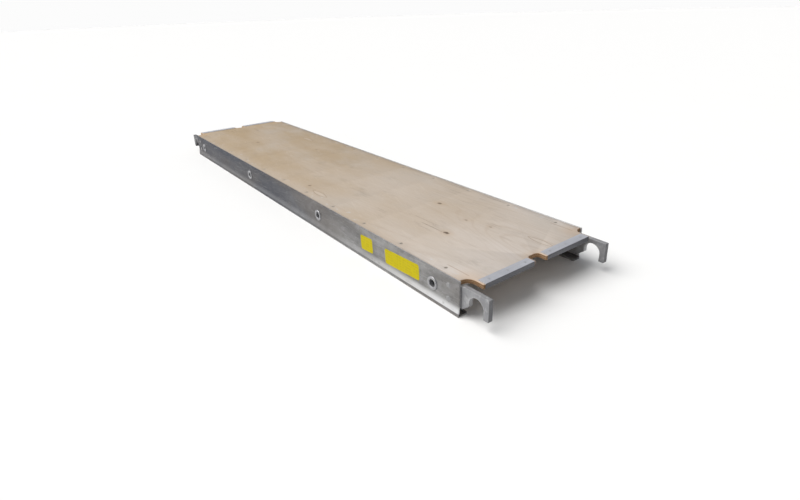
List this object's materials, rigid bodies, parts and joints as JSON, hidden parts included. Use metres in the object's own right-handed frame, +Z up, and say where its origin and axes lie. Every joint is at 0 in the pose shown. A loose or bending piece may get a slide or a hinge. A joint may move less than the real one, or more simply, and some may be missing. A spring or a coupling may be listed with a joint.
{
  "type": "scaffold plank",
  "caption": "Long flat work platform: two aluminium rails, a notched plywood deck, round rungs swaged through the rails and cast hooks that drop over tube at each end.",
  "frame": {"origin": "on the floor under the middle of the deck: centre of the bounding box in X and Y, foot of the rails in Z", "axes": "+X along the plank, +Y across it from the rail with the stickers to the plain rail, +Z up through the deck"},
  "size_m": [2.2166, 0.495, 0.1041],
  "materials": {
    "rail_extrusion": "mill-finish extrusion, dulled and scuffed by use",
    "rung_tube": "drawn tube, bright where it is swaged",
    "plywood": "bare rotary-cut softwood plywood, worn and greyed, darker laminations at the edge",
    "strip_aluminium": "satin angle, scratched lengthwise",
    "hook_casting": "sand-cast, fine grain, rubbed bright in the throat",
    "rivet_aluminium": "satin",
    "screw_zinc": "dull zinc, dirty recess",
    "label_yellow": "faded vinyl film, plain bars with no lettering"
  },
  "bodies": {
    "root": {"rail_front": "rail_extrusion", "rail_back": "rail_extrusion", "rung_1": "rung_tube", "rung_2": "rung_tube", "rung_3": "rung_tube", "rung_4": "rung_tube", "plywood_deck": "plywood", "end_strip_left_front": "strip_aluminium", "end_strip_left_back": "strip_aluminium", "end_strip_right_front": "strip_aluminium", "end_strip_right_back": "strip_aluminium", "hook_left_front": "hook_casting", "hook_left_back": "hook_casting", "hook_right_front": "hook_casting", "hook_right_back": "hook_casting", "hook_rivets": "rivet_aluminium", "end_strip_rivets": "rivet_aluminium", "deck_screws": "screw_zinc", "label_small": "label_yellow", "label_large": "label_yellow"}
  },
  "joints": []
}
